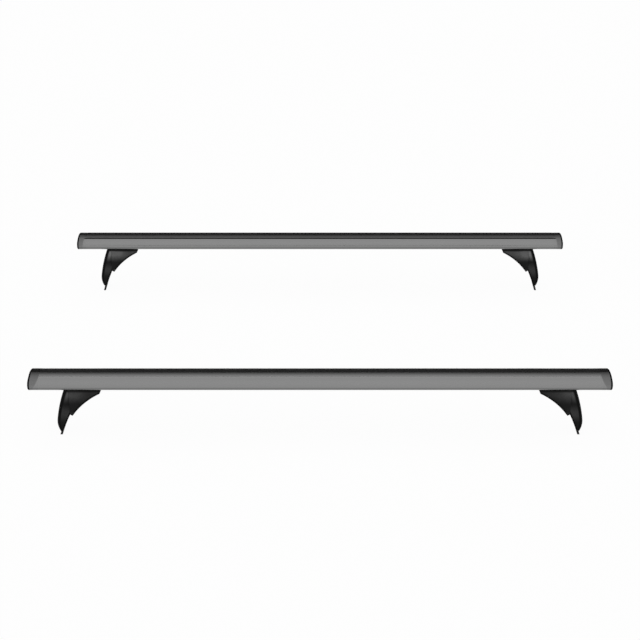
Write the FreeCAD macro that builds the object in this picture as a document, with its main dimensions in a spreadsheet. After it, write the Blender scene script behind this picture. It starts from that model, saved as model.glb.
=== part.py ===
"""Roof rack: a pair of wing section crossbars, each on two clamp feet.

X runs along the bars, to the right as seen from the front of the car.
Y runs from the front bar to the rear bar, and Z is up.
The origin is midway between the four feet, on the plane that their hooks stand on.
A foot is drawn in its own frame: x points to the near end of the bar, z = 0 is the bar's underside.
"""

import FreeCAD, Part
import math
import os
import Sketcher

# Driving dimensions, in millimetres
DIMENSIONS = {
    # Crossbars
    "bar_length": 1210,
    "bar_spacing": 750,
    "bar_depth": 86,
    "bar_height": 29,
    "nose_radius": 12,
    "tail_radius": 7,
    "bar_wall": 2.2,
    "slot_mouth": 20,
    "slot_width": 26,
    "slot_offset": 4,
    "slot_lip": 5.5,
    "slot_height": 5,
    "channel_mouth": 10,
    "channel_width": 24,
    "channel_lip": 2.6,
    "channel_height": 5.5,
    "line_ahead": 23,
    "line_width": 1.2,
    "line_depth": 0.8,
    # Rubber strip in the top slot
    "strip_proud": 0.6,
    "strip_groove": 0.7,
    # End caps
    "cap_length": 23,
    "cap_round": 3,
    "plug_length": 18,
    "plug_depth": 9,
    "plug_height": 8,
    # Feet
    "foot_inset": 53,
    "front_drop": 119,
    "rear_drop": 124,
    "lip_drop": 66,
    "lip_width": 5,
    "lip_slope": 2.5,
    "base_length": 81.5,
    "base_width": 62,
    "base_end_height": 12,
    "base_end_slope": 5.3,
    "arch_radius": 168,
    "split_in": 9.7,
    "base_round": 2,
    "pad_height": 9,
    "pad_round": 1.5,
    # Clamp arm
    "arm_gap": 0.6,
    "shut_gap": 0.4,
    "arm_width": 62,
    "arm_low_width": 48,
    "arm_bulge": 20.3,
    "bulge_drop": 78,
    "arm_drop": 108,
    "arm_end_outer": 16,
    "arm_upper_radius": 380,
    "arm_lower_radius": 52,
    "arm_inner_radius": 420,
    "arm_round": 5,
    # Steel clamp bracket inside the arm
    "bracket_thickness": 5.2,
    "bracket_width": 38,
    "bracket_top": 6,
    "tip_inner": 12.4,
    # Clamp bolt, washer and nut
    "bolt_drop": 18,
    "bolt_radius": 4,
    "bolt_head_radius": 6.5,
    "bolt_head_height": 6,
    "bolt_end": 40,
    "socket_radius": 3.4,
    "socket_depth": 3.5,
    "washer_radius": 8,
    "washer_thickness": 1.6,
    "nut_thickness": 10,
    "nut_width": 16,
    "nut_near": 21,
    # Guide pins between base and arm
    "pin_radius": 2.5,
    "pin_offset": 23.5,
    "pin_drop": 40,
    "pin_depth": 25,
    "pin_end": 1,
    # Screws and plate that hold the foot in the bar's channel
    "screw_radius": 3,
    "screw_head_radius": 5,
    "screw_head_height": 4,
    "screw_seat": 5,
    "screw_near": 50,
    "screw_pitch": 16,
    "plate_thickness": 4,
    "plate_margin": 9,
    # Clearances
    "fit": 0.05,
    "slack": 0.3,
}

STRIP_GROOVES = 5
SOCKET_SIDES = 6
WALL_SINK = 0.8  # share of the bar's wall that the inner walls reach into
CUT_OVER = 2  # a through cut is this many times as long as what it cuts
NEAR = 0.01  # edges are told apart to this distance

doc = FreeCAD.newDocument("roof_rack")
sheet = doc.addObject("Spreadsheet::Sheet", "Sizes")
for row, (alias, number) in enumerate(DIMENSIONS.items(), start=1):
    sheet.set(f"A{row}", alias)
    sheet.set(f"B{row}", str(number))
    sheet.setAlias(f"B{row}", alias)
doc.recompute()


class Size:
    """A length with the sheet formula that gives it, so that a feature can be bound to the sheet."""

    def __init__(self, value, text):
        self.value = value
        self.text = text

    def __neg__(self):
        return Size(-self.value, f"-({self.text})")

    def __add__(self, other):
        other = as_size(other)
        return Size(self.value + other.value, f"({self.text} + {other.text})")

    def __sub__(self, other):
        return self + -as_size(other)

    def __mul__(self, factor):
        factor = as_size(factor)
        return Size(self.value * factor.value, f"({self.text} * {factor.text})")

    def __truediv__(self, divisor):
        divisor = as_size(divisor)
        return Size(self.value / divisor.value, f"({self.text} / {divisor.text})")

    def root(self):
        return Size(math.sqrt(self.value), f"sqrt({self.text})")


def as_size(item):
    return item if isinstance(item, Size) else Size(item, f"({item})")


class Sheet:
    """The sheet's cells by name, each as a Size."""

    def __getattr__(self, alias):
        return Size(float(sheet.get(alias)), f"Sizes.{alias}")


d = Sheet()
ZERO = Size(0.0, "0")

# The crown is one arc that runs smoothly into the nose and the tail
NOSE_Y = -(d.bar_depth / 2) + d.nose_radius
TAIL_Y = d.bar_depth / 2 - d.tail_radius
NOSE_RISE = d.bar_height - d.nose_radius * 2
CROWN_RATIO = ((d.bar_height - d.tail_radius * 2) / NOSE_RISE).root()
CROWN_Y = (TAIL_Y + CROWN_RATIO * NOSE_Y) / (CROWN_RATIO + 1)
CROWN_RADIUS = (d.bar_height + (CROWN_Y - NOSE_Y) * (CROWN_Y - NOSE_Y) / NOSE_RISE) / 2

# The clamp bolt's head seats on its washer, and the washer on the bracket behind the split face
BOLT_SEAT = d.split_in - d.shut_gap - d.bracket_thickness - d.washer_thickness

SLOT_ROOF = d.bar_height - d.slot_lip
SLOT_FLOOR = SLOT_ROOF - d.slot_height
CHANNEL_ROOF = d.channel_lip + d.channel_height


def vector(x, y, z=0.0):
    return FreeCAD.Vector(x, y, z)


def new_body(label, x, y, z):
    body = doc.addObject("PartDesign::Body", label)
    body.Label = label
    body.Placement.Base = vector(x.value, y.value, z.value)
    for axis, size in zip("xyz", (x, y, z)):
        body.setExpression(f"Placement.Base.{axis}", size.text)
    return body


def new_sketch(body, plane, offset=None):
    """A sketch on one of the body's own planes, moved along the plane's normal by offset."""
    sketch = body.newObject("Sketcher::SketchObject", f"{body.Label}_outline")
    support = [f for f in body.Origin.OriginFeatures if f.Role == plane][0]
    sketch.AttachmentSupport = [(support, "")]
    sketch.MapMode = "FlatFace"
    if offset is not None:
        sketch.AttachmentOffset.Base = vector(0, 0, offset.value)
        sketch.setExpression("AttachmentOffset.Base.z", offset.text)
    return sketch


def bind(sketch, kind, *places_and_size):
    """Adds a dimension to the sketch and binds it to the sheet."""
    *places, size = places_and_size
    index = sketch.addConstraint(Sketcher.Constraint(kind, *places, size.value))
    sketch.setExpression(f"Constraints[{index}]", size.text)


def pin_point(sketch, edge, end, x, y):
    """Fixes one point of an edge at x, y from the sketch's origin."""
    for kind, axis, size in (("DistanceX", -2, x), ("DistanceY", -1, y)):
        if size is ZERO:
            sketch.addConstraint(Sketcher.Constraint("PointOnObject", edge, end, axis))
        else:
            bind(sketch, kind, -1, 1, edge, end, size)


def arc_between(start, end, radius, turn):
    """The shorter arc from start to end, turning left (1) or right (-1) on the way."""
    chord = end - start
    rise = math.sqrt(radius**2 - (chord.Length / 2) ** 2)
    left = vector(-chord.y, chord.x) / chord.Length
    centre = (start + end) / 2 + left * (rise * turn)
    first, last = (start, end) if turn > 0 else (end, start)
    low, high = (math.atan2(p.y - centre.y, p.x - centre.x) for p in (first, last))
    if high < low:
        high += 2 * math.pi
    return Part.ArcOfCircle(Part.Circle(centre, vector(0, 0, 1), radius), low, high)


def draw(sketch, corners, side=1):
    """Closed outline through corners (x, y). A corner with (radius, turn) after it is reached by an arc.

    With side -1 the outline is mirrored in x.
    """
    points = [(-c[0] if side < 0 and c[0] is not ZERO else c[0], c[1]) for c in corners]
    flat = [vector(x.value, y.value) for x, y in points]
    ends = []
    for i, corner in enumerate(corners):
        start, end = flat[i - 1], flat[i]
        if len(corner) == 2:
            edge = sketch.addGeometry(Part.LineSegment(start, end))
            ends.append((edge, 1, 2))
        else:
            radius, turn = corner[2], corner[3] * side
            edge = sketch.addGeometry(arc_between(start, end, radius.value, turn))
            ends.append((edge, 1, 2) if turn > 0 else (edge, 2, 1))
            bind(sketch, "Radius", edge, radius)
    for i, (edge, first, last) in enumerate(ends):
        before, _, tail = ends[i - 1]
        sketch.addConstraint(Sketcher.Constraint("Coincident", before, tail, edge, first))
        pin_point(sketch, edge, last, *points[i])
    return sketch


def draw_box(sketch, left, right, low, high):
    return draw(sketch, [(left, low), (right, low), (right, high), (left, high)])


def draw_circle(sketch, x, y, radius):
    circle = Part.Circle(vector(x.value, y.value), vector(0, 0, 1), radius.value)
    edge = sketch.addGeometry(circle)
    pin_point(sketch, edge, 3, x, y)
    bind(sketch, "Radius", edge, radius)
    return sketch


def draw_wing(sketch, inset=ZERO):
    """The bar's section, or the same section inset all round: nose, tail and crown arcs on a flat underside."""
    crown_z = d.bar_height - CROWN_RADIUS
    arcs = {
        "nose": (NOSE_Y, d.nose_radius, d.nose_radius - inset),
        "tail": (TAIL_Y, d.tail_radius, d.tail_radius - inset),
        "crown": (CROWN_Y, crown_z, CROWN_RADIUS - inset),
    }
    nose_turn, tail_turn = (
        math.atan2(arcs[n][1].value - crown_z.value, arcs[n][0].value - CROWN_Y.value)
        for n in ("nose", "tail")
    )
    spans = {
        "nose": (nose_turn, 1.5 * math.pi),
        "tail": (-0.5 * math.pi, tail_turn),
        "crown": (tail_turn, nose_turn),
    }
    edges = {}
    for name, (y, z, radius) in arcs.items():
        circle = Part.Circle(vector(y.value, z.value), vector(0, 0, 1), radius.value)
        edges[name] = sketch.addGeometry(Part.ArcOfCircle(circle, *spans[name]))
        bind(sketch, "Radius", edges[name], radius)
    low = inset.value
    floor = sketch.addGeometry(
        Part.LineSegment(vector(NOSE_Y.value, low), vector(TAIL_Y.value, low))
    )
    for name in ("nose", "tail"):
        pin_point(sketch, edges[name], 3, arcs[name][0], arcs[name][1])
    for joint in (
        (edges["nose"], 1, edges["crown"], 2),
        (edges["crown"], 1, edges["tail"], 2),
        (edges["tail"], 1, floor, 2),
        (floor, 1, edges["nose"], 2),
    ):
        sketch.addConstraint(Sketcher.Constraint("Tangent", *joint))
    return sketch


def pull(kind, sketch, length, both_ways=False, back=False):
    """Pad or Pocket of a sketch by length, one way or half each way."""
    body = sketch.getParentGeoFeatureGroup()
    feature = body.newObject(f"PartDesign::{kind}", f"{body.Label}_{kind}")
    feature.Profile = sketch
    feature.SideType = "Symmetric" if both_ways else "One side"
    feature.Reversed = back
    feature.Length = length.value
    feature.setExpression("Length", length.text)
    sketch.Visibility = False
    return feature


def revolve(sketch):
    """Solid of revolution about the sketch's horizontal axis."""
    body = sketch.getParentGeoFeatureGroup()
    feature = body.newObject("PartDesign::Revolution", f"{body.Label}_turned")
    feature.Profile = sketch
    feature.ReferenceAxis = (sketch, ["H_Axis"])
    feature.Angle = 360
    return feature


def round_edges(body, radius, chosen):
    """Fillet on the edges of the body's last feature that chosen() picks."""
    doc.recompute()
    base = body.Tip
    names = [f"Edge{i}" for i, e in enumerate(base.Shape.Edges, start=1) if chosen(e)]
    feature = body.newObject("PartDesign::Fillet", f"{body.Label}_round")
    feature.Base = (base, names)
    feature.Radius = radius.value
    feature.setExpression("Radius", radius.text)
    return feature


def lies_at(edge, axis, place):
    """True if the whole edge lies at one place along an axis."""
    box = edge.BoundBox
    low, high = getattr(box, f"{axis}Min"), getattr(box, f"{axis}Max")
    return abs(low - place) < NEAR and abs(high - place) < NEAR


# Crossbars, their rubber strips and end caps


def make_bar(bar, y, z):
    """Hollow aluminium wing: a rubber slot and a fine line along the top, a foot channel along the bottom."""
    body = new_body(f"{bar}_bar", ZERO, y, z)
    pull("Pad", draw_wing(new_sketch(body, "YZ_Plane")), d.bar_length, both_ways=True)
    hollow = draw_wing(new_sketch(body, "YZ_Plane"), d.bar_wall)
    pull("Pocket", hollow, d.bar_length, both_ways=True)

    half_block = d.slot_width / 2 + d.bar_wall
    floor_inside = d.bar_wall * WALL_SINK
    block = new_sketch(body, "YZ_Plane")
    draw_box(block, d.slot_offset - half_block, d.slot_offset + half_block, floor_inside, d.bar_height)
    pull("Pad", block, d.bar_length, both_ways=True)

    half_channel = d.channel_width / 2 + d.bar_wall
    rail = new_sketch(body, "YZ_Plane")
    draw_box(rail, -half_channel, half_channel, floor_inside, CHANNEL_ROOF + d.bar_wall)
    pull("Pad", rail, d.bar_length, both_ways=True)

    outside = draw_wing(new_sketch(body, "YZ_Plane"))
    draw_box(outside, -d.bar_depth, d.bar_depth, -d.bar_depth, d.bar_depth)
    pull("Pocket", outside, d.bar_length, both_ways=True)

    chamber = new_sketch(body, "YZ_Plane")
    half_slot = d.slot_width / 2
    left, right = d.slot_offset - half_slot, d.slot_offset + half_slot
    draw_box(chamber, left, right, CHANNEL_ROOF + d.bar_wall, SLOT_FLOOR - d.bar_wall)
    pull("Pocket", chamber, d.bar_length, both_ways=True)

    half_mouth = d.slot_mouth / 2
    mouth_left, mouth_right = d.slot_offset - half_mouth, d.slot_offset + half_mouth
    slot = [
        (left, SLOT_FLOOR),
        (right, SLOT_FLOOR),
        (right, SLOT_ROOF),
        (mouth_right, SLOT_ROOF),
        (mouth_right, d.bar_height * CUT_OVER),
        (mouth_left, d.bar_height * CUT_OVER),
        (mouth_left, SLOT_ROOF),
        (left, SLOT_ROOF),
    ]
    pull("Pocket", draw(new_sketch(body, "YZ_Plane"), slot), d.bar_length, both_ways=True)

    half_width, half_gap = d.channel_width / 2, d.channel_mouth / 2
    channel = [
        (half_gap, -d.channel_lip),
        (half_gap, d.channel_lip),
        (half_width, d.channel_lip),
        (half_width, CHANNEL_ROOF),
        (-half_width, CHANNEL_ROOF),
        (-half_width, d.channel_lip),
        (-half_gap, d.channel_lip),
        (-half_gap, -d.channel_lip),
    ]
    pull("Pocket", draw(new_sketch(body, "YZ_Plane"), channel), d.bar_length, both_ways=True)

    line = new_sketch(body, "YZ_Plane")
    line_left, line_right = -d.line_ahead - d.line_width / 2, -d.line_ahead + d.line_width / 2
    line_floor = crown_height(-d.line_ahead, ZERO) - d.line_depth
    draw_box(line, line_left, line_right, line_floor, d.bar_height)
    pull("Pocket", line, d.bar_length, both_ways=True)
    return body


def crown_height(y, proud):
    """Height of the crown's arc at y from the bar's middle, raised by proud."""
    radius, across = CROWN_RADIUS + proud, y - CROWN_Y
    return d.bar_height - CROWN_RADIUS + (radius * radius - across * across).root()


def make_strip(bar, y, z):
    """Rubber strip that fills the top slot, with grooves along its upper face."""
    body = new_body(f"{bar}_top_strip", ZERO, y, z)
    half_foot = d.slot_width / 2 - d.slack
    half_head = d.slot_mouth / 2 - d.slack
    shoulder = SLOT_ROOF - d.slack
    left, right = d.slot_offset - half_head, d.slot_offset + half_head
    corners = [
        (d.slot_offset - half_foot, SLOT_FLOOR),
        (d.slot_offset + half_foot, SLOT_FLOOR),
        (d.slot_offset + half_foot, shoulder),
        (right, shoulder),
        (right, crown_height(right, d.strip_proud)),
        (left, crown_height(left, d.strip_proud), CROWN_RADIUS + d.strip_proud, 1),
        (left, shoulder),
        (d.slot_offset - half_foot, shoulder),
    ]
    pull("Pad", draw(new_sketch(body, "YZ_Plane"), corners), d.bar_length, both_ways=True)
    grooves = new_sketch(body, "YZ_Plane")
    pitch = half_head * 2 / (STRIP_GROOVES + 1)
    for i in range(1, STRIP_GROOVES + 1):
        groove_y = left + pitch * i
        draw_circle(grooves, groove_y, crown_height(groove_y, d.strip_proud), d.strip_groove)
    pull("Pocket", grooves, d.bar_length, both_ways=True)
    return body


def make_cap(bar, end, side, y, z):
    """Moulded end cap: the bar's section with a rounded end, on two plugs that enter the bar."""
    body = new_body(f"{bar}_{end}_end_cap", d.bar_length / 2 * side, y, z)
    pull("Pad", draw_wing(new_sketch(body, "YZ_Plane")), d.cap_length, back=side < 0)
    low = d.nose_radius - d.plug_height / 2
    behind_slot = d.slot_offset + d.slot_width / 2 + d.bar_wall
    for near_y in (NOSE_Y - d.plug_depth / 2, behind_slot + d.slack):
        plug = new_sketch(body, "YZ_Plane")
        draw_box(plug, near_y, near_y + d.plug_depth, low, low + d.plug_height)
        pull("Pad", plug, d.plug_length, back=side > 0)
    outer = d.cap_length.value * side
    round_edges(body, d.cap_round, lambda edge: lies_at(edge, "X", outer))
    return body


# Clamp feet


def base_corners():
    """Side outline of the foot's base and roof pad: flat top, arched inside, straight split face."""
    return [
        (-d.split_in, ZERO),
        (-d.base_length, ZERO),
        (d.base_end_slope - d.base_length, -d.base_end_height),
        (-(d.split_in + d.lip_width), -d.lip_drop, d.arch_radius, -1),
        (-d.split_in, d.lip_slope - d.lip_drop),
    ]


def make_base(foot, place, side):
    """Moulded base that bolts under the bar and takes the clamp nut and guide pins."""
    body = new_body(f"{foot}_base", *place)
    outline = draw(new_sketch(body, "XZ_Plane"), base_corners(), side)
    pull("Pad", outline, d.base_width, both_ways=True)
    below = new_sketch(body, "XZ_Plane")
    pad_top = d.pad_height - d.lip_drop
    deep = -d.lip_drop * CUT_OVER
    draw(below, [(ZERO, pad_top), (ZERO, deep), (-d.base_length, deep), (-d.base_length, pad_top)], side)
    pull("Pocket", below, d.base_width * CUT_OVER, both_ways=True)
    half = d.base_width.value / 2
    round_edges(
        body,
        d.base_round,
        lambda e: (lies_at(e, "Y", half) or lies_at(e, "Y", -half))
        and not lies_at(e, "Z", 0)
        and not lies_at(e, "Z", pad_top.value)
        and not is_split_edge(e, side),
    )

    bolt_hole = new_sketch(body, "YZ_Plane")
    draw_circle(bolt_hole, ZERO, -d.bolt_drop, d.bolt_radius + d.slack)
    pull("Pocket", bolt_hole, d.bolt_end + d.slack, back=side < 0)

    nut_pocket = new_sketch(body, "XY_Plane")
    half_nut = d.nut_width / 2 + d.fit
    near, far = d.fit - d.nut_near, -(d.nut_near + d.nut_thickness + d.fit)
    draw(nut_pocket, [(near, -half_nut), (near, half_nut), (far, half_nut), (far, -half_nut)], side)
    pull("Pocket", nut_pocket, d.bolt_drop + d.nut_width / 2)

    pins = new_sketch(body, "YZ_Plane")
    for y in (-d.pin_offset, d.pin_offset):
        draw_circle(pins, y, -d.pin_drop, d.pin_radius + d.fit)
    pull("Pocket", pins, d.pin_depth, back=side < 0)

    holes = new_sketch(body, "XY_Plane")
    wells = new_sketch(body, "XY_Plane", -d.screw_seat)
    for x in screw_places(side):
        draw_circle(holes, x, ZERO, d.screw_radius + d.slack)
        draw_circle(wells, x, ZERO, d.screw_head_radius + d.slack * 2)
    pull("Pocket", holes, d.lip_drop)
    pull("Pocket", wells, d.lip_drop)
    return body


def is_split_edge(edge, side):
    """True for an edge on the face between base and arm, which stays sharp."""
    outermost = max(v.X * side for v in edge.Vertexes)
    innermost = min(v.X * side for v in edge.Vertexes)
    return innermost > -d.split_in.value - NEAR and outermost <= 0


def screw_places(side):
    return [-(d.screw_near + d.screw_pitch * i) * side for i in range(2)]


def make_pad(foot, place, side):
    """Rubber pad on the end of the base, which bears on the roof."""
    body = new_body(f"{foot}_roof_pad", *place)
    outline = draw(new_sketch(body, "XZ_Plane"), base_corners(), side)
    pull("Pad", outline, d.base_width, both_ways=True)
    above = new_sketch(body, "XZ_Plane")
    pad_top = d.pad_height - d.lip_drop
    far, high = -d.base_length * CUT_OVER, d.lip_drop
    draw(above, [(ZERO, pad_top), (ZERO, high), (far, high), (far, pad_top)], side)
    pull("Pocket", above, d.base_width * CUT_OVER, both_ways=True)
    half = d.base_width.value / 2
    round_edges(
        body,
        d.pad_round,
        lambda e: (lies_at(e, "Y", half) or lies_at(e, "Y", -half))
        and not lies_at(e, "Z", pad_top.value),
    )
    return body


def bracket_corners(drop):
    """Side outline of the clamp bracket: straight behind the bolt, then curved down to its tip."""
    thick = d.bracket_thickness
    back, bend_z = d.shut_gap - d.split_in, d.lip_slope - d.lip_drop
    return [
        (back, -d.bracket_top),
        (back, bend_z),
        (d.tip_inner, -drop, d.arm_inner_radius, -1),
        (d.tip_inner + thick, -drop),
        (back + thick, bend_z, d.arm_inner_radius, 1),
        (back + thick, -d.bracket_top),
    ]


def make_arm(foot, place, side, drop):
    """Clamp arm: the curved outer fin of the foot, drawn in towards the base by the clamp bolt."""
    body = new_body(f"{foot}_clamp_arm", *place)
    back, end_z = d.shut_gap - d.split_in, -d.arm_drop
    corners = [
        (ZERO, -d.arm_gap, d.arm_upper_radius, 1),
        (back, -d.arm_gap),
        (back, d.lip_slope - d.lip_drop),
        (d.tip_inner, -drop, d.arm_inner_radius, -1),
        (d.arm_end_outer, -drop),
        (d.arm_end_outer, end_z),
        (d.arm_bulge, -d.bulge_drop, d.arm_lower_radius, 1),
    ]
    outline = draw(new_sketch(body, "XZ_Plane"), corners, side)
    pull("Pad", outline, d.arm_width, both_ways=True)
    below = new_sketch(body, "XZ_Plane")
    far, deep = d.arm_bulge * CUT_OVER, -drop * CUT_OVER
    draw(below, [(far, end_z), (back, end_z), (back, deep), (far, deep)], side)
    pull("Pocket", below, d.arm_width * CUT_OVER, both_ways=True)

    taper = new_sketch(body, "YZ_Plane")
    top_half, low_half, out = d.arm_width / 2, d.arm_low_width / 2, d.arm_width
    draw(taper, [(top_half, ZERO), (low_half, -drop), (out, -drop), (out, ZERO)])
    draw(taper, [(-top_half, ZERO), (-low_half, -drop), (-out, -drop), (-out, ZERO)])
    pull("Pocket", taper, d.base_length * CUT_OVER, both_ways=True)

    round_edges(body, d.arm_round, lambda e: is_outer_edge(e, side, end_z.value))

    slot = draw(new_sketch(body, "XZ_Plane"), bracket_corners(drop), side)
    pull("Pocket", slot, d.bracket_width + d.fit * 2, both_ways=True)

    hole = new_sketch(body, "YZ_Plane")
    draw_circle(hole, ZERO, -d.bolt_drop, d.bolt_radius + d.slack)
    pull("Pocket", hole, d.base_length, both_ways=True)
    well = new_sketch(body, "YZ_Plane", -(BOLT_SEAT + d.washer_thickness) * side)
    draw_circle(well, ZERO, -d.bolt_drop, d.washer_radius + d.slack)
    pull("Pocket", well, d.base_length, back=side > 0)

    pins = new_sketch(body, "YZ_Plane", (d.slack - d.pin_end) * side)
    for y in (-d.pin_offset, d.pin_offset):
        draw_circle(pins, y, -d.pin_drop, d.pin_radius + d.fit)
    pull("Pocket", pins, d.base_length, back=side < 0)
    return body


def is_outer_edge(edge, side, end_z):
    """True for the arm's long outer edges, from the bar down to its lower end."""
    x_side = [v.X * side for v in edge.Vertexes]
    heights = [v.Z for v in edge.Vertexes]
    tall = max(heights) - min(heights) > d.arm_round.value * 2
    return tall and min(x_side) > -NEAR and min(heights) > end_z - NEAR


def make_bracket(foot, place, side, drop):
    """Steel clamp bracket: the bolt pulls on its top, and its tip hooks under the roof edge."""
    body = new_body(f"{foot}_clamp_bracket", *place)
    outline = draw(new_sketch(body, "XZ_Plane"), bracket_corners(drop), side)
    pull("Pad", outline, d.bracket_width, both_ways=True)
    hole = new_sketch(body, "YZ_Plane")
    draw_circle(hole, ZERO, -d.bolt_drop, d.bolt_radius + d.slack)
    pull("Pocket", hole, d.base_length, both_ways=True)
    return body


def make_bolt(foot, place, side):
    """Socket head clamp bolt, lying along x with its head in the arm."""
    x, y, z = place
    body = new_body(f"{foot}_clamp_bolt", x, y, z - d.bolt_drop)
    top = d.bolt_head_height - BOLT_SEAT
    profile = [
        (-d.bolt_end, ZERO),
        (top, ZERO),
        (top, d.bolt_head_radius),
        (-BOLT_SEAT, d.bolt_head_radius),
        (-BOLT_SEAT, d.bolt_radius),
        (-d.bolt_end, d.bolt_radius),
    ]
    revolve(draw(new_sketch(body, "XY_Plane"), profile, side))
    socket = new_sketch(body, "YZ_Plane", (top - d.socket_depth) * side)
    corners = []
    for i in range(SOCKET_SIDES):
        angle = 2 * math.pi * (i + 0.5) / SOCKET_SIDES
        corners.append((d.socket_radius * math.cos(angle), d.socket_radius * math.sin(angle)))
    pull("Pocket", draw(socket, corners), d.bolt_head_height, back=side > 0)
    return body


def make_washer(foot, place, side):
    """Plain washer under the clamp bolt's head."""
    x, y, z = place
    body = new_body(f"{foot}_washer", x, y, z - d.bolt_drop)
    ring = new_sketch(body, "YZ_Plane", -BOLT_SEAT * side)
    draw_circle(ring, ZERO, ZERO, d.washer_radius)
    draw_circle(ring, ZERO, ZERO, d.bolt_radius + d.fit)
    pull("Pad", ring, d.washer_thickness, back=side > 0)
    return body


def make_nut(foot, place, side):
    """Square clamp nut in the base's pocket, under the bar."""
    x, y, z = place
    body = new_body(f"{foot}_clamp_nut", x, y, z - d.bolt_drop)
    block = new_sketch(body, "YZ_Plane", -d.nut_near * side)
    half = d.nut_width / 2
    draw_box(block, -half, half, -half, half)
    draw_circle(block, ZERO, ZERO, d.bolt_radius + d.fit)
    pull("Pad", block, d.nut_thickness, back=side > 0)
    return body


def make_pins(foot, place, side):
    """Two steel guide pins, fixed in the base, that keep the arm square as it moves."""
    x, y, z = place
    body = new_body(f"{foot}_guide_pins", x, y, z - d.pin_drop)
    body.AllowCompound = True
    ends = new_sketch(body, "YZ_Plane", -d.pin_end * side)
    for offset in (-d.pin_offset, d.pin_offset):
        draw_circle(ends, offset, ZERO, d.pin_radius)
    pull("Pad", ends, d.pin_depth - d.pin_end, back=side > 0)
    return body


def make_plate(foot, place, side):
    """Tapped plate that slides in the bar's channel."""
    body = new_body(f"{foot}_channel_plate", *place)
    plate = new_sketch(body, "XY_Plane", d.channel_lip)
    near = d.plate_margin - d.screw_near
    far = -(d.screw_near + d.screw_pitch + d.plate_margin)
    half = d.channel_width / 2 - d.slack
    draw(plate, [(near, -half), (near, half), (far, half), (far, -half)], side)
    for x in screw_places(side):
        draw_circle(plate, x, ZERO, d.screw_radius + d.fit)
    pull("Pad", plate, d.plate_thickness)
    return body


def make_screws(foot, place, side):
    """Two low head screws, from under the base up into the channel plate."""
    body = new_body(f"{foot}_base_screws", *place)
    body.AllowCompound = True
    shanks = new_sketch(body, "XY_Plane", -d.screw_seat)
    heads = new_sketch(body, "XY_Plane", -d.screw_seat)
    for x in screw_places(side):
        draw_circle(shanks, x, ZERO, d.screw_radius)
        draw_circle(heads, x, ZERO, d.screw_head_radius)
    pull("Pad", shanks, d.screw_seat + d.channel_lip + d.plate_thickness)
    pull("Pad", heads, d.screw_head_height, back=True)
    return body


def make_foot(foot, side, y, drop):
    place = ((d.bar_length / 2 - d.foot_inset) * side, y, drop)
    return [
        make_base(foot, place, side),
        make_pad(foot, place, side),
        make_arm(foot, place, side, drop),
        make_bracket(foot, place, side, drop),
        make_bolt(foot, place, side),
        make_washer(foot, place, side),
        make_nut(foot, place, side),
        make_pins(foot, place, side),
        make_plate(foot, place, side),
        make_screws(foot, place, side),
    ]


def make_rack():
    pieces = []
    half = d.bar_spacing / 2
    for bar, y, drop in (("front", -half, d.front_drop), ("rear", half, d.rear_drop)):
        pieces.append(make_bar(bar, y, drop))
        pieces.append(make_strip(bar, y, drop))
        for end, side in (("left", -1), ("right", 1)):
            pieces.append(make_cap(bar, end, side, y, drop))
            pieces += make_foot(f"{bar}_{end}", side, y, drop)
    return pieces


def save(pieces):
    """Stops if anything failed, then writes one file for each piece."""
    doc.recompute()
    failed = [o.Label for o in doc.Objects if {"Invalid", "Error"} & set(o.State)]
    failed += [p.Label for p in pieces if p.Shape.isNull() or not p.Shape.isValid()]
    if failed:
        raise RuntimeError(f"these did not build: {failed}")
    os.makedirs("parts", exist_ok=True)
    for piece in pieces:
        piece.Shape.exportStep(f"parts/{piece.Label}.step")
        print(f"{piece.Label}: {len(piece.Shape.Solids)} solid, {piece.Shape.Volume:.0f} mm3")


save(make_rack())
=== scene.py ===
# %% [markdown]
# # A roof rack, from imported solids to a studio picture
# The rack is two aluminium crossbars, each on two black clamp feet.
# The solids come from the CAD model at their true size, so this lesson leaves their shapes alone.
# What it adds are the finishes, finer screws in place of the plain ones, a floor, light and a camera.

# %% Load the solids
import math

import bmesh
import bpy
from mathutils import Matrix, Vector


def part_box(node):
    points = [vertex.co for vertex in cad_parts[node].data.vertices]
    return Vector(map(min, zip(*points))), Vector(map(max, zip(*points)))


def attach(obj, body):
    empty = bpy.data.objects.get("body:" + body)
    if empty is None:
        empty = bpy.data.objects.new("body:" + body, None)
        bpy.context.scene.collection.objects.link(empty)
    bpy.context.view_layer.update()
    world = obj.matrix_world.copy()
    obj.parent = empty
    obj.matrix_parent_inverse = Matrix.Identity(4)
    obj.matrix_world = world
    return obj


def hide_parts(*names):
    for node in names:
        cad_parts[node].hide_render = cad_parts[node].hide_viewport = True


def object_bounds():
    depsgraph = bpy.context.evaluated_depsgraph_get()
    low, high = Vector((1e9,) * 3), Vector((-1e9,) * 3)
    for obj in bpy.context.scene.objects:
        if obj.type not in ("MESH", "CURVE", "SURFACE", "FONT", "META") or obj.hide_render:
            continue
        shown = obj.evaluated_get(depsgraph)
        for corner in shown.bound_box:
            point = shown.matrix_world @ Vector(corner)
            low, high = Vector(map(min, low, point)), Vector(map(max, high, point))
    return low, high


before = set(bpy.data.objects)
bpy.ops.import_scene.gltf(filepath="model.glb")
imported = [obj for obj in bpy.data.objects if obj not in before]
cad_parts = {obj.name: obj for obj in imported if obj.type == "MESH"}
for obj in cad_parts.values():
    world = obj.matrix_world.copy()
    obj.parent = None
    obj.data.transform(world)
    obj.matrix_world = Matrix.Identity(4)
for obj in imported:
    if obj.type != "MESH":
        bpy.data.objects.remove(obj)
cad_low, cad_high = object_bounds()
print("solids:", len(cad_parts), "box:", [round(v, 4) for v in cad_high - cad_low])

# %% [markdown]
# ## Names of the pieces
# Every node is named after its bar and its end, so a loop over both reaches all four feet.
# The list is worked out once and used by the steps below.

# %% Bars and feet
BARS = ("front", "rear")
SIDES = {"left": -1, "right": 1}
FEET = [f"{bar}_{end}" for bar in BARS for end in SIDES]
print("feet:", ", ".join(FEET))

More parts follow.
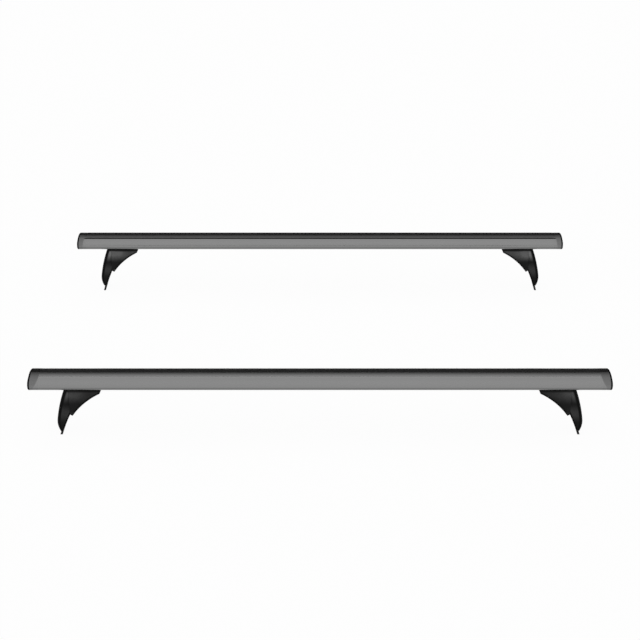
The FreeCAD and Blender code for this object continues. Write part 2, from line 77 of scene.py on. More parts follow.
# %% [markdown]
# ## Writing shader maths as sums
# A finish is a small network of nodes, and wiring every Math node by hand hides the idea behind it.
# The class Signal wraps one output socket and gives it the usual operators.
# An expression such as 1 - mask * 0.5 then adds the Math nodes by itself.
# A comparison gives 1 where it holds and 0 elsewhere, which is a mask with a sharp edge.
# The method fade gives a mask with a soft one.


# %% Signals
class Signal:
    """One output socket of a finish, which can be added, multiplied and compared."""

    def __init__(self, finish, socket):
        self.finish = finish
        self.socket = socket

    def math(self, operation, *operands):
        inputs = dict(enumerate(operands))
        return self.finish.node("ShaderNodeMath", {"operation": operation}, inputs)

    def __add__(self, other):
        return self.math("ADD", self, other)

    def __sub__(self, other):
        return self.math("SUBTRACT", self, other)

    def __rsub__(self, other):
        return self.math("SUBTRACT", other, self)

    def __mul__(self, other):
        return self.math("MULTIPLY", self, other)

    def __gt__(self, other):
        return self.math("GREATER_THAN", self, other)

    def __lt__(self, other):
        return self.math("LESS_THAN", self, other)

    __radd__ = __add__
    __rmul__ = __mul__

    def size(self):
        """The value without its sign."""
        return self.math("ABSOLUTE", self)

    def root(self):
        return self.math("SQRT", self)

    def or_more(self, other):
        """The larger of two values."""
        return self.math("MAXIMUM", self, other)

    def fade(self, start, end):
        """0 below start, 1 above end and a smooth rise between."""
        inputs = {"Value": self, "From Min": start, "From Max": end}
        return self.finish.node("ShaderNodeMapRange", {"interpolation_type": "SMOOTHSTEP"}, inputs)


print("signals ready")

# %% [markdown]
# ## A finish and its nodes
# The class Finish owns the node tree of a material or of the world.
# Its node method makes every kind of node.
# The shorter methods below it only name the nodes that most finishes need.
# Patterns read Object coordinates, which are metres here and move with the piece.


# %% Finishes
class Finish:
    """A node tree of a material or of the world, and the nodes that go into it."""

    def __init__(self, owner):
        self.owner = owner
        owner.use_nodes = True
        self.tree = owner.node_tree
        self.tree.nodes.clear()

    def node(self, kind, settings=None, inputs=None, output=0):
        made = self.tree.nodes.new(kind)
        for name, value in (settings or {}).items():
            setattr(made, name, value)
        for name, value in (inputs or {}).items():
            if isinstance(value, Signal):
                self.tree.links.new(value.socket, made.inputs[name])
            else:
                made.inputs[name].default_value = value
        return Signal(self, made.outputs[output]) if made.outputs else None

    def coordinates(self, scale=(1, 1, 1)):
        """The piece's own coordinates in metres, stretched by scale."""
        place = self.node("ShaderNodeTexCoord", output="Object")
        return self.node("ShaderNodeMapping", inputs={"Vector": place, "Scale": scale})

    def along(self, axis):
        """One of the piece's own coordinates: X, Y or Z."""
        return self.node("ShaderNodeSeparateXYZ", inputs={"Vector": self.coordinates()}, output=axis)

    def noise(self, scale, detail, stretch=(1, 1, 1)):
        inputs = {"Vector": self.coordinates(stretch), "Scale": scale, "Detail": detail}
        return self.node("ShaderNodeTexNoise", inputs=inputs)

    def colour(self, low, high, factor):
        """A colour between two others, each of them three numbers or a signal."""
        ends = [end if isinstance(end, Signal) else (*end, 1) for end in (low, high)]
        inputs = {"Factor": factor, 6: ends[0], 7: ends[1]}
        return self.node("ShaderNodeMix", {"data_type": "RGBA"}, inputs, output=2)

    def bump(self, height, distance, strength):
        inputs = {"Height": height, "Distance": distance, "Strength": strength}
        return self.node("ShaderNodeBump", inputs=inputs)

    def surface(self, **sockets):
        """Ends the finish with a Principled shader."""
        inputs = {name.replace("_", " "): value for name, value in sockets.items()}
        shader = self.node("ShaderNodeBsdfPrincipled", inputs=inputs)
        self.node("ShaderNodeOutputMaterial", inputs={"Surface": shader})
        return self.owner


def new_finish(name):
    return Finish(bpy.data.materials.new(name))


def neutral(level):
    """A grey of the given level."""
    return (level, level, level)


print("finishes ready")

# %% [markdown]
# ## The bars: anodised aluminium
# The real bars are extruded, so fine draw lines run along them, and then dyed a satin grey.
# A stretched noise gives the lines: long in x and about a millimetre across.
# They change the roughness and the height a little, and a broad noise keeps the grey from being too even.
# The edge that turns under the bar is painted darker, as painted shade.
# On the rear bar the fine groove ahead of the crown is painted dark as painted shade, and the slope behind
# it is painted a little darker as well.
# On the front bar the groove is painted a lighter grey instead, as a painted highlight.

# %% Places on a bar
REAR_BAR_LOW, REAR_BAR_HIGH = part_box("rear_bar")
BAR_MIDDLE = (REAR_BAR_LOW.y + REAR_BAR_HIGH.y) / 2
UNDERSIDE = {bar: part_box(f"{bar}_bar")[0].z for bar in BARS}


def on_bar(rear, values):
    """The front bar's value, or the rear bar's where rear is 1."""
    return values["front"] + rear * (values["rear"] - values["front"])


def bar_place(finish):
    """How far a point lies behind its bar's middle, above its underside, and 1 on the rear bar."""
    rear = finish.along("Y") > 0
    behind = finish.along("Y") + BAR_MIDDLE - rear * (2 * BAR_MIDDLE)
    above = finish.along("Z") - on_bar(rear, UNDERSIDE)
    return behind, above, rear


print("bars", round(2 * BAR_MIDDLE, 4), "apart, undersides at", [round(v, 4) for v in UNDERSIDE.values()])

# %% Edge and groove of a bar
# UNDER_SHADE_EDGE and TOP_SIDE are heights above the underside, and the other lengths start at the bar's middle.
UNDER_SHADE_EDGE = (0.0085, 0.0115)
UNDER_SHADE_SHARE = 0.5
TOP_SIDE = 0.018
GROOVE_AHEAD = 0.023
GROOVE_HIGHLIGHT_EDGE = (0.0006, 0.0022)
SHADE_LINE_AHEAD = 0.0251
SHADE_LINE_HALF = 0.0019
SLOPE_SHADE = 0.35


def painted_under_shade(above):
    """How much painted shade a point gets: most at the edge that turns under the bar, and 0 above it."""
    return (1 - above.fade(*UNDER_SHADE_EDGE)) * UNDER_SHADE_SHARE


def groove_painted_highlight(behind, above):
    """1 on the painted highlight in the groove, and 0 past its soft edges."""
    return (1 - (behind + GROOVE_AHEAD).size().fade(*GROOVE_HIGHLIGHT_EDGE)) * (above > TOP_SIDE)


def groove_painted_shade(behind, above):
    """Painted shade: 1 along the front edge of the groove, and less on the slope behind it."""
    line = (behind + SHADE_LINE_AHEAD).size() < SHADE_LINE_HALF
    slope = (behind > -SHADE_LINE_AHEAD) * (behind < 0)
    return (line + (1 - line) * slope * SLOPE_SHADE) * (above > TOP_SIDE)


print("groove", GROOVE_AHEAD, "ahead of the bar's middle")

# %% Bar finish
# Painted shade: the darker tone of the edge that turns under a bar.
UNDER_SHADE_METAL = neutral(0.1)
# Painted highlight: the lighter grey in the groove of the front bar.
HIGHLIGHT_METAL = neutral(0.46)
# Painted shade in the groove of the rear bar and on the slope behind it.
GROOVE_SHADE_BLACK = neutral(0.006)


def bar_finish():
    finish = new_finish("bar_aluminium")
    lines = finish.noise(scale=900, detail=3, stretch=(0.004, 1, 1))
    patches = finish.noise(scale=7, detail=4, stretch=(0.4, 1, 1))
    behind, above, rear = bar_place(finish)
    # Painted shade along the rear bar's groove.
    groove_shade = groove_painted_shade(behind, above) * rear
    # Painted highlight along the front bar's groove.
    groove_highlight = groove_painted_highlight(behind, above) * (1 - rear)
    dyed = finish.colour(neutral(0.238), neutral(0.268), patches * 0.6 + lines * 0.4)
    under_shaded = finish.colour(dyed, UNDER_SHADE_METAL, painted_under_shade(above))
    highlighted = finish.colour(under_shaded, HIGHLIGHT_METAL, groove_highlight)
    return finish.surface(
        Base_Color=finish.colour(highlighted, GROOVE_SHADE_BLACK, groove_shade),
        Metallic=1.0,
        Roughness=0.2 + lines * 0.1 + patches * 0.05 + groove_shade * 0.2,
        Normal=finish.bump(lines, distance=0.00006, strength=0.35),
    )


BAR = bar_finish()
print("made", BAR.name)

# %% [markdown]
# ## The strips and pads: black rubber
# A soft strip fills the slot on top of a bar and stops a load from sliding.
# A pad of the same rubber keeps each foot off the paint.
# Rubber scatters light, so the finish is rough, nearly black and a little dusty.
# The dust follows a coarse noise, and a fine one makes the surface grainy.


# %% Rubber finishes
def rubber_finish(name, dark, dusty):
    finish = new_finish(name)
    grain = finish.noise(scale=2600, detail=3)
    dust = finish.noise(scale=45, detail=5, stretch=(0.15, 1, 1))
    return finish.surface(
        Base_Color=finish.colour(dark, dusty, dust * 0.7 + grain * 0.3),
        Roughness=0.55 + dust * 0.2,
        Specular_IOR_Level=0.15,
        Normal=finish.bump(grain, distance=0.00012, strength=0.5),
    )


STRIP_RUBBER = rubber_finish("strip_rubber", dark=neutral(0.01), dusty=neutral(0.022))
PAD_RUBBER = rubber_finish("pad_rubber", dark=neutral(0.008), dusty=neutral(0.016))
print("made", STRIP_RUBBER.name, PAD_RUBBER.name)

# %% [markdown]
# ## The end caps: grey moulding with a black end
# Each cap continues the bar's section in silver grey plastic and closes with a black end face.
# The two tones meet near the start of the rounded edge, so a mask on x alone can part them.
# Between them a darker facet is painted on as shade, with a soft edge that leans: it is widest at the crown.
# Towards the bottom the painted facet shade grows narrow and fainter.
# On top, a black inlay carries on the line of the rubber strip.
# Metal flakes in the plastic make it shine like the bar, only duller.

# %% Places on a cap
# The end and facet lengths are measured inwards from the cap's end, the inlay's from the bar's middle.
CAP_END = cad_high.x
BLACK_END = 0.0044
FLAT_END = 0.0003
FACET_SHADE_LOW = {"front": 0.0068, "rear": 0.0125}
FACET_SHADE_LEAN = {"front": 0.6, "rear": 0.17}
FACET_SHADE_SOFT = 0.0016
FACET_SHADE_RISE = (0.008, 0.02)
INLAY_MIDDLE = 0.004
INLAY_HALF = 0.0103
INLAY_ABOVE = 0.02


def cap_facet_shade(inward, above, rear):
    """1 on the painted shade of the facet next to a cap's end, and 0 past its soft edge."""
    past = inward - above * on_bar(rear, FACET_SHADE_LEAN) - on_bar(rear, FACET_SHADE_LOW)
    return 1 - past.fade(-FACET_SHADE_SOFT, FACET_SHADE_SOFT)


def cap_inlay(behind, above):
    """1 on the black inlay on top of a cap."""
    return ((behind - INLAY_MIDDLE).size() < INLAY_HALF) * (above > INLAY_ABOVE)


print("caps end at", round(CAP_END, 4))

# %% Cap finish
# Painted shade: the darker tone of the edge that turns under a cap.
UNDER_SHADE_PLASTIC = neutral(0.08)
INLAY_BLACK = neutral(0.014)


def cap_finish():
    finish = new_finish("cap_plastic")
    behind, above, rear = bar_place(finish)
    inward = CAP_END - finish.along("X").size()
    end = inward < BLACK_END
    black = cap_inlay(behind, above).or_more(end)
    # Painted shade: the facet by the cap's end is darker, most of all towards the crown.
    facet = cap_facet_shade(inward, above, rear)
    shade = facet * (0.45 + 0.55 * above.fade(*FACET_SHADE_RISE))
    # Painted shade along the groove on the rear caps.
    groove_shade = groove_painted_shade(behind, above) * rear * (1 - facet)
    flakes = finish.noise(scale=3200, detail=2)
    light_tone = finish.colour(neutral(0.232), neutral(0.262), flakes)
    shaded_tone = finish.colour(neutral(0.15), neutral(0.18), flakes)
    rim_tone = finish.colour(neutral(0.002), neutral(0.005), flakes)
    flat_tone = finish.colour(neutral(0.012), neutral(0.022), flakes)
    end_tone = finish.colour(rim_tone, flat_tone, inward < FLAT_END)
    black_tone = finish.colour(INLAY_BLACK, end_tone, end)
    # The silver is mixed with its painted shade on the facet.
    silver = finish.colour(light_tone, shaded_tone, shade)
    under_shaded = finish.colour(silver, UNDER_SHADE_PLASTIC, painted_under_shade(above))
    groove_shaded = finish.colour(under_shaded, GROOVE_SHADE_BLACK, groove_shade)
    return finish.surface(
        Base_Color=finish.colour(groove_shaded, black_tone, black),
        Metallic=0.95 - black * 0.95,
        Roughness=0.3 + facet * 0.08 + black * 0.2,
        Specular_IOR_Level=0.03,
        Normal=finish.bump(flakes, distance=0.00004, strength=0.3),
    )


CAP = cap_finish()
print("made", CAP.name)

# %% [markdown]
# ## The feet: black moulded plastic
# Base and arm are moulded in glass filled plastic with a fine eroded texture.
# A cell pattern of a third of a millimetre gives the texture its pits.
# The flat sides are a dusty grey, made lighter by painted highlights, most of all below the bar and where
# the arm bulges.
# Painted shade keeps the smooth rims deep black: the arm's rounded edges and the edge of the arch, and a
# painted shadow of the bar darkens the seam under it.
# The outline of a foot is made of arcs.
# The distance of a point from an arc's centre says how near to the rim it lies.
# All four feet share the masks, because each measures from its own bar's underside and its own split face.

# %% Places on a foot
FOOT_LOW, FOOT_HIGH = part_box("rear_right_base")
FOOT_MIDDLE = (FOOT_LOW.y + FOOT_HIGH.y) / 2
BASE_HALF = (FOOT_HIGH.y - FOOT_LOW.y) / 2
FOOT_TOP = {bar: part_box(f"{bar}_right_base")[1].z for bar in BARS}
SPLIT_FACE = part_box("front_right_base")[1].x


def foot_place(finish):
    """How far a point lies below the bar, inwards from the split face, and off the foot's middle plane."""
    across = finish.along("Y")
    depth = on_bar(across > 0, FOOT_TOP) - finish.along("Z")
    inward = SPLIT_FACE - finish.along("X").size()
    return depth, inward, (across.size() - FOOT_MIDDLE).size()


print("split faces at", round(SPLIT_FACE, 4), "bases", round(2 * BASE_HALF, 4), "wide")


# %% Outline of a foot
class Arc:
    """An arc of a foot's outline from start to end, each given as (inward, depth)."""

    def __init__(self, start, end, radius, hollow):
        chord = Vector(end) - Vector(start)
        away = Vector((chord.y, -chord.x)).normalized()
        middle = (Vector(start) + Vector(end)) / 2
        self.centre = middle + away * math.sqrt(radius**2 - (chord.length / 2) ** 2)
        self.radius = radius
        self.hollow = hollow

    def inside(self, depth, inward):
        """How far a point of the foot lies inside the arc."""
        aside = inward - self.centre.x
        below = depth - self.centre.y
        reach = (aside * aside + below * below).root()
        return reach - self.radius if self.hollow else self.radius - reach


# The points and radii are those of the solids, in metres.
BULGE_DEPTH = 0.078
BULGE = (-0.03, BULGE_DEPTH)
ARM_DEPTH = 0.108
ARCH = Arc(start=(0.0665, 0.012), end=(0.005, 0.066), radius=0.168, hollow=True)
ARM_INNER = Arc(start=(0, 0.0635), end=(-0.0221, 0.119), radius=0.42, hollow=True)
ARM_UPPER = Arc(start=(-0.0097, 0.0006), end=BULGE, radius=0.38, hollow=False)
ARM_LOWER = Arc(start=BULGE, end=(-0.0257, ARM_DEPTH), radius=0.052, hollow=False)
print("arch centre", [round(v, 4) for v in ARCH.centre])
print("arm centre", [round(v, 4) for v in ARM_UPPER.centre])

# %% Dust, painted highlights and painted shadow on every foot
# A pair holds the start and the end of a fade in metres, and a single value is a share of the grey tone of
# dust and painted highlight.
# The fade out of the painted shadow of the bar, then the end of the painted highlight below it.
BAR_SHADOW_SEAM = (0.005, 0.0095)
BAR_HIGHLIGHT_END = (0.012, 0.04)
MIDDLE_EDGE = (-0.012, -0.007)
MIDDLE_GREY = 0.105
# Painted highlight: its share on the front and on the rear feet.
FOOT_HIGHLIGHT = {"front": 0.38, "rear": 1.2}


def bar_shadow_and_highlight(depth):
    """Painted shadow and painted highlight: 0 in the seam under the bar, 1 just below it, and back to 0
    further down.
    """
    return depth.fade(*BAR_SHADOW_SEAM) * (1 - depth.fade(*BAR_HIGHLIGHT_END))


def middle_face(beyond):
    """A little grey on the faces between the rims, away from the foot's flat sides."""
    return (1 - beyond.fade(*MIDDLE_EDGE)) * MIDDLE_GREY


def highlight_by_bar(finish):
    """The painted highlight below the bar is stronger on the rear feet than on the front ones."""
    return on_bar(finish.along("Y") > 0, FOOT_HIGHLIGHT)


print("greyed by", FOOT_HIGHLIGHT)

# %% Dust, painted highlights and painted shade on a base
BASE_EDGE = (-0.0012, -0.0002)
BASE_DUST = 0.074
# The fade of the painted shade at the edge of the arch.
ARCH_RIM_SHADE = (0.0025, 0.006)
SPLIT_REACH = 0.045
SPLIT_FALL = 0.6


def base_dust_and_painted_light(finish):
    """How grey a point of a base is, from dust and painted highlights, with painted shade at the rim of the
    arch.
    """
    depth, inward, across = foot_place(finish)
    beyond = across - BASE_HALF
    # Painted highlight: the grey falls off away from the split face.
    near_split = 1 - inward.fade(0, SPLIT_REACH) * SPLIT_FALL
    # Painted shade: the grey fades to black at the edge of the arch.
    rim = ARCH.inside(depth, inward).fade(*ARCH_RIM_SHADE)
    dust = bar_shadow_and_highlight(depth) * highlight_by_bar(finish) + BASE_DUST
    return dust * near_split * rim * beyond.fade(*BASE_EDGE) + middle_face(beyond)


print("bases greyed over", SPLIT_REACH, "from the split face")

# %% Dust, painted highlights and painted shade on an arm
ARM_NARROWING = 0.007
ARM_TAPER = ARM_NARROWING / ARM_DEPTH
ARM_EDGE = (-0.0009, -0.0001)
ARM_DUST = 0.036
# The fades of the painted shade at the arm's outer and inner rims.
OUTER_RIM_SHADE = (0.0055, 0.0085)
INNER_RIM_SHADE = (0.0025, 0.005)
# The painted highlight streak inside the outer edge, and the painted highlight where the arm bulges.
HIGHLIGHT_STREAK_START = (0.007, 0.01)
HIGHLIGHT_STREAK_END = (0.012, 0.017)
BULGE_HIGHLIGHT = 0.16
BULGE_HIGHLIGHT_DEPTH = 0.062
BULGE_HIGHLIGHT_REACH = 0.026


def arm_rim_shade(depth, inward):
    """How far a point of the arm lies inside its outer edge, and 0 to 1 from the painted black shade of the
    rims inwards.
    """
    upper = depth < BULGE_DEPTH
    outer = upper * ARM_UPPER.inside(depth, inward) + (1 - upper) * ARM_LOWER.inside(depth, inward)
    inner = ARM_INNER.inside(depth, inward).fade(*INNER_RIM_SHADE)
    return outer, outer.fade(*OUTER_RIM_SHADE) * inner


def arm_dust_and_painted_light(finish):
    """How grey a point of an arm is, from dust and painted highlights, with painted shade at its rims."""
    depth, inward, across = foot_place(finish)
    beyond = across - (BASE_HALF - depth * ARM_TAPER)
    outer, rim = arm_rim_shade(depth, inward)
    # Painted highlights: a streak inside the outer edge and a band where the arm bulges.
    highlight_streak = outer.fade(*HIGHLIGHT_STREAK_START) * (1 - outer.fade(*HIGHLIGHT_STREAK_END))
    bulge = (1 - (depth - BULGE_HIGHLIGHT_DEPTH).size().fade(0, BULGE_HIGHLIGHT_REACH)) * BULGE_HIGHLIGHT
    dust = bar_shadow_and_highlight(depth) * (0.5 + highlight_streak * 0.5) * highlight_by_bar(finish) + bulge + ARM_DUST
    return dust * rim * beyond.fade(*ARM_EDGE) + middle_face(beyond)


print("arms bulge most at", BULGE_DEPTH, "below the bar")


# %% Foot finishes
def moulded_finish(name, deep, dusty, gloss, dust_and_light_on):
    """Grained black plastic, grey with dust and painted highlights where the mask given as the last argument
    is 1.
    """
    finish = new_finish(name)
    pits = finish.node("ShaderNodeTexVoronoi", inputs={"Vector": finish.coordinates(), "Scale": 2800})
    cloud = finish.noise(scale=38, detail=4)
    return finish.surface(
        Base_Color=finish.colour(deep, dusty, dust_and_light_on(finish) * (0.5 + cloud)),
        Roughness=gloss + cloud * 0.14,
        Specular_IOR_Level=0.05,
        Normal=finish.bump(pits, distance=0.00005, strength=0.4),
    )


BASE_PLASTIC = moulded_finish("base_plastic", neutral(0.003), neutral(0.122), 0.4, base_dust_and_painted_light)
ARM_PLASTIC = moulded_finish("arm_plastic", neutral(0.002), neutral(0.175), 0.38, arm_dust_and_painted_light)
print("made", BASE_PLASTIC.name, ARM_PLASTIC.name)

# %% [markdown]
# ## The brackets and screws: coated and plated steel
# The hook that grips the roof edge is steel with a black powder coat, which has a slight orange peel.
# The coat wears first at the hook's tip, so below a set height a noise lets a little grey through.
# Screws, nuts, pins and plates are bright zinc, cloudy from the plating bath.

# %% Bracket finish
TIP_HEIGHT = 0.006
CHIPPED = 0.62


def bracket_finish():
    finish = new_finish("bracket_steel")
    peel = finish.noise(scale=700, detail=2)
    chips = finish.noise(scale=420, detail=5)
    worn = (chips > CHIPPED) * (finish.along("Z") < TIP_HEIGHT)
    return finish.surface(
        Base_Color=finish.colour(neutral(0.008), (0.09, 0.088, 0.085), worn),
        Metallic=worn * 0.7,
        Roughness=0.34 + peel * 0.15,
        Specular_IOR_Level=0.16,
        Normal=finish.bump(peel, distance=0.00015, strength=0.3),
    )


BRACKET = bracket_finish()
print("made", BRACKET.name)


# %% Zinc finish
def zinc_finish():
    finish = new_finish("fastener_steel")
    cloud = finish.noise(scale=320, detail=4)
    scratches = finish.noise(scale=1500, detail=2, stretch=(1, 0.1, 1))
    return finish.surface(
        Base_Color=finish.colour((0.42, 0.43, 0.45), (0.58, 0.58, 0.57), cloud),
        Metallic=1.0,
        Roughness=0.24 + cloud * 0.16 + scratches * 0.06,
        Normal=finish.bump(scratches, distance=0.00003, strength=0.3),
    )


ZINC = zinc_finish()
print("made", ZINC.name)

# %% [markdown]
# ## Giving each solid its finish
# A node's name ends with the kind of piece it is, so one table from kind to finish dresses them all.
# The longest ending that fits wins, so that a kind may end with the name of another.

# %% Dress the solids
FINISH_OF_KIND = {
    "bar": BAR,
    "top_strip": STRIP_RUBBER,
    "end_cap": CAP,
    "base": BASE_PLASTIC,
    "roof_pad": PAD_RUBBER,
    "clamp_arm": ARM_PLASTIC,
    "clamp_bracket": BRACKET,
    "clamp_bolt": ZINC,
    "washer": ZINC,
    "clamp_nut": ZINC,
    "guide_pins": ZINC,
    "channel_plate": ZINC,
    "base_screws": ZINC,
}


def kind_of(name):
    return max((kind for kind in FINISH_OF_KIND if name.endswith(kind)), key=len)


for name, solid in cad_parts.items():
    solid.data.materials.clear()
    solid.data.materials.append(FINISH_OF_KIND[kind_of(name)])
print("dressed", len(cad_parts), "solids")

# %% [markdown]
# ## Socket screws
# The solids show each screw as plain cylinders.
# A real one has a knurled rim, a hexagon socket and chamfers.
# A lathe makes such a screw, so its half section is spun round the axis.
# The hexagon starts as a circle of six corners, is divided as finely as the rim and bridged to it.
# Moving every second point of the head's side inwards makes the knurl.

# %% Lathe
RIM_STEPS = 48


def spin_section(mesh, section):
    """Spins a half section, given as (radius, height) points, round the z axis."""
    points = [mesh.verts.new((radius, 0, height)) for radius, height in section]
    edges = [mesh.edges.new(pair) for pair in zip(points, points[1:])]
    bmesh.ops.spin(
        mesh,
        geom=points + edges,
        cent=(0, 0, 0),
        axis=(0, 0, 1),
        angle=2 * math.pi,
        steps=RIM_STEPS,
        use_merge=True,
    )
    bmesh.ops.remove_doubles(mesh, verts=mesh.verts, dist=1e-7)


print("lathe with", RIM_STEPS, "steps")

# %% Socket
HEX_CORNERS = 6


def open_edges(mesh):
    return [edge for edge in mesh.edges if len(edge.link_faces) == 1]


def add_socket(mesh, radius, depth):
    """Bridges a hexagon to the open rim at the top of the head and sinks it."""
    rim = open_edges(mesh)
    ring = bmesh.ops.create_circle(mesh, segments=HEX_CORNERS, radius=radius)["verts"]
    hexagon = list({edge for point in ring for edge in point.link_edges})
    cut = bmesh.ops.subdivide_edges(mesh, edges=hexagon, cuts=RIM_STEPS // HEX_CORNERS - 1)
    hexagon = [part for part in cut["geom"] if isinstance(part, bmesh.types.BMEdge)]
    bmesh.ops.bridge_loops(mesh, edges=rim + hexagon)
    wall = bmesh.ops.extrude_edge_only(mesh, edges=open_edges(mesh))["geom"]
    sunk = [part for part in wall if isinstance(part, bmesh.types.BMVert)]
    bmesh.ops.translate(mesh, verts=sunk, vec=(0, 0, -depth))
    bmesh.ops.holes_fill(mesh, edges=open_edges(mesh))


print("socket with", HEX_CORNERS, "corners")

# %% Knurl and whole screw
CHAMFER = 0.0006
KNURL_DEPTH = 0.00022
SHARP_ANGLE = math.radians(32)


def knurl(mesh, radius):
    """Draws every second point of the head's side in."""
    step = 2 * math.pi / RIM_STEPS
    for point in mesh.verts:
        across = point.co.to_2d().length
        turn = round(math.atan2(point.co.y, point.co.x) / step)
        if turn % 2 and abs(across - radius) < CHAMFER / 4:
            point.co.x *= 1 - KNURL_DEPTH / radius
            point.co.y *= 1 - KNURL_DEPTH / radius


def socket_screw(head_radius, head_height, shank_radius, length, socket_radius, socket_depth):
    """A screw on the z axis, with the top of its head at height 0."""
    mesh = bmesh.new()
    spin_section(
        mesh,
        [
            (head_radius - CHAMFER, 0),
            (head_radius, -CHAMFER),
            (head_radius, -head_height),
            (shank_radius, -head_height),
            (shank_radius, CHAMFER - length),
            (shank_radius - CHAMFER, -length),
            (0, -length),
        ],
    )
    add_socket(mesh, socket_radius, socket_depth)
    knurl(mesh, head_radius)
    bmesh.ops.recalc_face_normals(mesh, faces=mesh.faces)
    for face in mesh.faces:
        face.smooth = True
    for edge in mesh.edges:
        edge.smooth = edge.calc_face_angle(math.pi) < SHARP_ANGLE
    return mesh


print("knurl", KNURL_DEPTH, "deep")

# %% [markdown]
# ## Screws in their places
# A screw takes its length and place from the box of the solid that it stands for.
# The clamp bolt lies along x with its head to the outside, and turns with its own body.
# The two base screws of a foot point up, with their heads below, and are one piece as their solids are.


# %% Screws as pieces
def add_screws(name, mesh, body, stands_for):
    """Makes a piece of zinc plated screws that rides on a body in place of a solid."""
    data = bpy.data.meshes.new(name)
    mesh.to_mesh(data)
    mesh.free()
    data.materials.append(ZINC)
    piece = bpy.data.objects.new(name, data)
    bpy.context.scene.collection.objects.link(piece)
    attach(piece, body)
    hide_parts(stands_for)
    print("made", name, "with", len(data.polygons), "faces")


print("screws get", ZINC.name)

# %% Clamp bolts
BOLT_HEAD = 0.006
BOLT_SHANK = 0.004
BOLT_SOCKET = (0.0034, 0.0035)


def make_clamp_bolt(foot, side):
    node = f"{foot}_clamp_bolt"
    low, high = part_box(node)
    mesh = socket_screw((high.y - low.y) / 2, BOLT_HEAD, BOLT_SHANK, high.x - low.x, *BOLT_SOCKET)
    middle = (low + high) / 2
    top = Vector((high.x if side > 0 else low.x, middle.y, middle.z))
    turn = Matrix.Rotation(side * math.pi / 2, 4, "Y")
    bmesh.ops.transform(mesh, matrix=Matrix.Translation(top) @ turn, verts=mesh.verts)
    add_screws(f"{foot}_socket_bolt", mesh, f"{foot}_bolt", node)


print("bolt heads", BOLT_HEAD, "high")

# %% Base screws, and both kinds on every foot
BASE_HEAD = 0.004
BASE_HEAD_RADIUS = 0.005
BASE_SHANK = 0.003
BASE_SOCKET = (0.0026, 0.0024)


def make_base_screws(foot):
    node = f"{foot}_base_screws"
    low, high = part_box(node)
    both = bmesh.new()
    for x in (low.x + BASE_HEAD_RADIUS, high.x - BASE_HEAD_RADIUS):
        mesh = socket_screw(BASE_HEAD_RADIUS, BASE_HEAD, BASE_SHANK, high.z - low.z, *BASE_SOCKET)
        top = Vector((x, (low.y + high.y) / 2, low.z))
        turn = Matrix.Rotation(math.pi, 4, "X")
        bmesh.ops.transform(mesh, matrix=Matrix.Translation(top) @ turn, verts=mesh.verts)
        single = bpy.data.meshes.new(node)
        mesh.to_mesh(single)
        mesh.free()
        both.from_mesh(single)
        bpy.data.meshes.remove(single)
    add_screws(f"{foot}_socket_screws", both, f"{foot}_foot", node)


for foot in FEET:
    end = foot.split("_")[1]
    make_clamp_bolt(foot, SIDES[end])
    make_base_screws(foot)

# %% [markdown]
# ## The floor
# The rack stands on a white studio floor that fills the picture.
# Most of its white is a glow that only the camera and reflections see.
# The rest is ordinary white paint, so that the soft shadows under the feet stay.

# %% Floor finish
FLOOR_GLOW = 0.96


def glow_mask(finish):
    """1 for what the camera, a reflection or glass shows, and 0 for the light that falls on things."""
    rays = ("Is Camera Ray", "Is Glossy Ray", "Is Transmission Ray")
    camera, glossy, through = [finish.node("ShaderNodeLightPath", output=ray) for ray in rays]
    return camera.or_more(glossy).or_more(through)


def floor_finish():
    finish = new_finish("studio_floor")
    speckle = finish.noise(scale=30, detail=3)
    tone = finish.colour(neutral(0.86), neutral(0.9), speckle)
    paint = finish.node("ShaderNodeBsdfDiffuse", inputs={"Color": tone})
    glow = finish.node("ShaderNodeEmission", inputs={"Color": (1, 1, 1, 1), "Strength": 1.0})
    mixed = finish.node("ShaderNodeMixShader", inputs={0: glow_mask(finish) * FLOOR_GLOW, 1: paint, 2: glow})
    finish.node("ShaderNodeOutputMaterial", inputs={"Surface": mixed})
    return finish.owner


FLOOR_WHITE = floor_finish()
print("made", FLOOR_WHITE.name)

# %% Floor
FLOOR_REACH = 14.0


def make_floor():
    mesh = bmesh.new()
    bmesh.ops.create_grid(mesh, x_segments=2, y_segments=2, size=FLOOR_REACH)
    bmesh.ops.translate(mesh, verts=mesh.verts, vec=(0, 0, cad_low.z))
    data = bpy.data.meshes.new("floor")
    mesh.to_mesh(data)
    mesh.free()
    data.materials.append(FLOOR_WHITE)
    floor = bpy.data.objects.new("floor", data)
    bpy.context.scene.collection.objects.link(floor)
    return floor


print("made", make_floor().name)

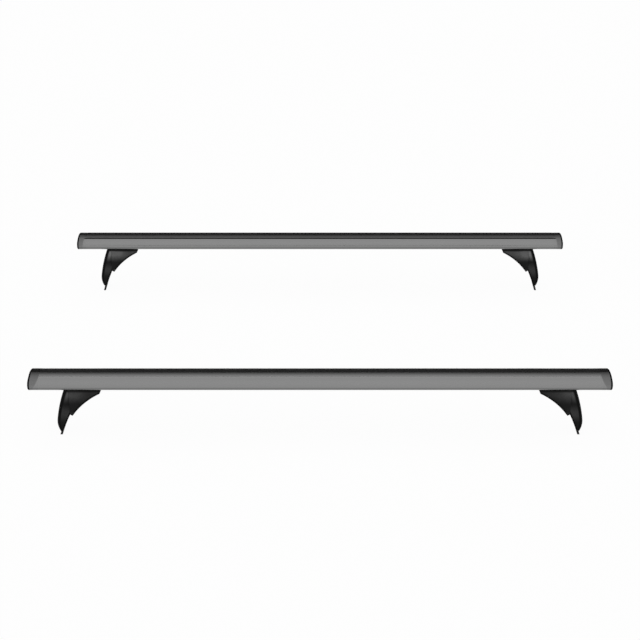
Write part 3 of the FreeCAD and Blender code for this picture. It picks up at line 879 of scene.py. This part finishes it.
# %% [markdown]
# ## The studio light
# The bars are mirrors for the room: their faces see the floor in front, and their tops see the back wall.
# In the picture the faces are an even grey and the tops fall off to black.
# So the room is bright overhead and in front, with a dark wall behind that fades out as it rises.
# The room itself is the lamp: a lamp of its own would draw a bright line along the curved faces.

# %% Room
ROOM_LEVEL = 1.0
WALL_LEVEL = 0.012
WALL_FADE = (math.sin(math.radians(30)), math.sin(math.radians(60)))
WALL_EDGE = (0.0, 0.35)


def make_room():
    finish = Finish(bpy.data.worlds.new("studio_room"))
    direction = finish.node("ShaderNodeTexCoord", output="Generated")
    back = finish.node("ShaderNodeSeparateXYZ", inputs={"Vector": direction}, output="Y")
    up = finish.node("ShaderNodeSeparateXYZ", inputs={"Vector": direction}, output="Z")
    wall = back.fade(*WALL_EDGE) * (1 - up.fade(*WALL_FADE))
    level = ROOM_LEVEL - wall * (ROOM_LEVEL - WALL_LEVEL)
    camera = finish.node("ShaderNodeLightPath", output="Is Camera Ray")
    strength = level + camera * (1 - level)
    shader = finish.node("ShaderNodeBackground", inputs={"Color": (1, 1, 1, 1), "Strength": strength})
    finish.node("ShaderNodeOutputWorld", inputs={"Surface": shader})
    bpy.context.scene.world = finish.owner


make_room()
print("lit by", bpy.context.scene.world.name)

# %% [markdown]
# ## The camera
# The picture was taken from in front, a little above the rack, with a long lens.
# Its place and lens follow from how much smaller the rear bar looks than the front one.
# It looks along the rack's middle plane, tilted down, with no shift.

# %% Camera
CAMERA_PLACE = (0, -3.288, 1.695)
CAMERA_TILT = math.radians(26.065)
CAMERA_LENS = 85.73
SENSOR_WIDTH = 36


def make_camera():
    camera = bpy.data.cameras.new("camera")
    camera.lens = CAMERA_LENS
    camera.sensor_width = SENSOR_WIDTH
    holder = bpy.data.objects.new("camera", camera)
    holder.location = CAMERA_PLACE
    holder.rotation_euler = (math.pi / 2 - CAMERA_TILT, 0, 0)
    bpy.context.scene.collection.objects.link(holder)
    bpy.context.scene.camera = holder
    return holder


bpy.context.scene.view_settings.view_transform = "Standard"
print("camera at", tuple(make_camera().location))
